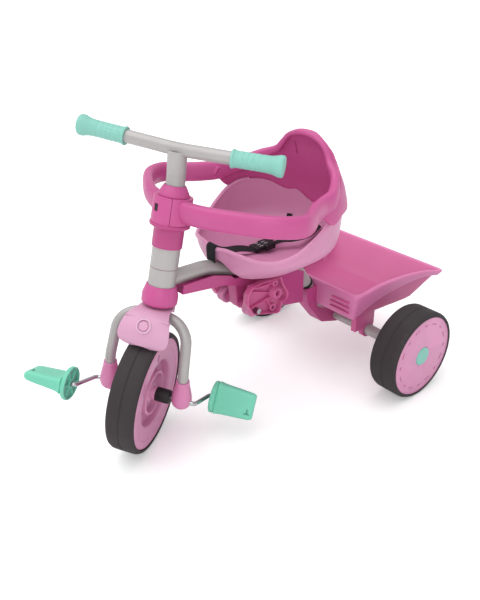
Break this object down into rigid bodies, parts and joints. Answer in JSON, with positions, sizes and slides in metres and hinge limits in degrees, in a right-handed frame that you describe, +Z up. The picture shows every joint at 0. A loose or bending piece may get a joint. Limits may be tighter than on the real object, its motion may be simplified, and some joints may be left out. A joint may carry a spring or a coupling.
{
  "type": "children's tricycle",
  "caption": "Children's pedal tricycle with a bucket seat, a guard ring round the rider, a steered front wheel with pedals, folding footrests and a tipping rear bin.",
  "frame": {"origin": "on the ground, below the centre of the tricycle's bounding box", "axes": "+X points forward, +Y to the rider's left, +Z up; the handlebar and front wheel are stored turned 33.5 degrees to the left"},
  "size_m": [0.8529, 0.502, 0.5796],
  "materials": {
    "magenta_plastic": "semi-gloss moulded magenta plastic",
    "light_pink_plastic": "semi-gloss moulded light pink plastic",
    "bin_pink_plastic": "semi-gloss moulded rose plastic",
    "mint_plastic": "satin mint green plastic",
    "grey_paint": "satin light grey powder coat on steel tube",
    "tyre_rubber": "dull charcoal foamed plastic tyre",
    "black_plastic": "dull black plastic",
    "bright_steel": "bright zinc-plated steel",
    "red_ring_plastic": "dull red plastic",
    "webbing": "woven dark webbing",
    "badge_plastic": "plain pale pink plastic"
  },
  "bodies": {
    "frame": {"axle_bracket": "magenta_plastic", "backrest_shell": "magenta_plastic", "buckle_plug": "black_plastic", "buckle_socket": "black_plastic", "column_cap": "magenta_plastic", "column_joint_ring": "red_ring_plastic", "column_sleeve": "grey_paint", "crotch_strap": "webbing", "footrest_hanger": "magenta_plastic", "footrest_shaft": "bright_steel", "guard_arm_left": "magenta_plastic", "guard_arm_right": "magenta_plastic", "guard_collar_cone": "magenta_plastic", "guard_collar_front": "magenta_plastic", "guard_collar_rear": "magenta_plastic", "head_bush_lower": "black_plastic", "head_bush_upper": "black_plastic", "head_tube": "grey_paint", "lap_strap_left": "webbing", "lap_strap_right": "webbing", "lower_collar": "magenta_plastic", "main_tube": "grey_paint", "rear_axle_bush_left": "black_plastic", "rear_axle_bush_right": "black_plastic", "rear_axle_rod": "bright_steel", "rear_axle_tube": "grey_paint", "seat_tub": "light_pink_plastic", "stay_ring": "black_plastic", "under_cover": "magenta_plastic"},
    "steering": {"fork_tube": "grey_paint", "fork_steerer": "bright_steel", "fork_shoe_left": "magenta_plastic", "fork_shoe_right": "magenta_plastic", "mudguard": "light_pink_plastic", "mudguard_badge": "badge_plastic", "stem_tube": "grey_paint", "handlebar_tube": "grey_paint", "grip_left": "mint_plastic", "grip_right": "mint_plastic"},
    "front_wheel": {"front_tyre": "tyre_rubber", "front_wheel_left": "light_pink_plastic", "front_wheel_right": "light_pink_plastic", "front_hub_bush_left": "black_plastic", "front_hub_bush_right": "black_plastic", "crank_axle": "bright_steel"},
    "pedal_left": {"pedal_left": "mint_plastic"},
    "pedal_right": {"pedal_right": "mint_plastic"},
    "rear_wheel_left": {"rear_tyre_left": "tyre_rubber", "rear_wheel_left": "light_pink_plastic", "rear_hub_cap_left": "mint_plastic"},
    "rear_wheel_right": {"rear_tyre_right": "tyre_rubber", "rear_wheel_right": "light_pink_plastic", "rear_hub_cap_right": "mint_plastic"},
    "footrest_left": {"footrest_left": "magenta_plastic"},
    "footrest_right": {"footrest_right": "magenta_plastic"},
    "bin": {"bin": "bin_pink_plastic", "bin_clip_left": "bin_pink_plastic", "bin_clip_right": "bin_pink_plastic"},
    "collar_button": {"collar_button": "mint_plastic"}
  },
  "joints": [
    {"name": "steering", "type": "hinge", "parent": "frame", "child": "steering", "pos_m": [0.2046, 0, 0.272], "axis": [-0.2278, 0, 0.9737], "range_deg": [-78.5, 11.5]},
    {"name": "front_wheel_spin", "type": "hinge", "parent": "steering", "child": "front_wheel", "pos_m": [0.25204, 0.00669, 0.11364], "axis": [-0.5374, 0.8339, -0.1258], "continuous": true},
    {"name": "pedal_left_spin", "type": "hinge", "parent": "front_wheel", "child": "pedal_left", "pos_m": [0.11954, 0.09627, 0.07314], "axis": [-0.5374, 0.8339, -0.1258], "continuous": true},
    {"name": "pedal_right_spin", "type": "hinge", "parent": "front_wheel", "child": "pedal_right", "pos_m": [0.38454, -0.08289, 0.15414], "axis": [-0.5374, 0.8339, -0.1258], "continuous": true},
    {"name": "rear_wheel_left_spin", "type": "hinge", "parent": "frame", "child": "rear_wheel_left", "pos_m": [-0.2435, 0.218, 0.092], "axis": [0, 1, 0], "continuous": true},
    {"name": "rear_wheel_right_spin", "type": "hinge", "parent": "frame", "child": "rear_wheel_right", "pos_m": [-0.2435, -0.218, 0.092], "axis": [0, 1, 0], "continuous": true},
    {"name": "footrest_left_fold", "type": "hinge", "parent": "frame", "child": "footrest_left", "pos_m": [0.0245, 0.05, 0.214], "axis": [0, -1, 0], "range_deg": [0, 90]},
    {"name": "footrest_right_fold", "type": "hinge", "parent": "frame", "child": "footrest_right", "pos_m": [0.0245, -0.05, 0.214], "axis": [0, -1, 0], "range_deg": [0, 90]},
    {"name": "bin_tip", "type": "hinge", "parent": "frame", "child": "bin", "pos_m": [-0.2435, 0, 0.092], "axis": [0, -1, 0], "range_deg": [0, 35]},
    {"name": "collar_button_press", "type": "slide", "parent": "frame", "child": "collar_button", "axis": [-0.9737, 0, -0.2278], "range_m": [0, 0.003], "stiffness_N_per_m": 400}
  ]
}
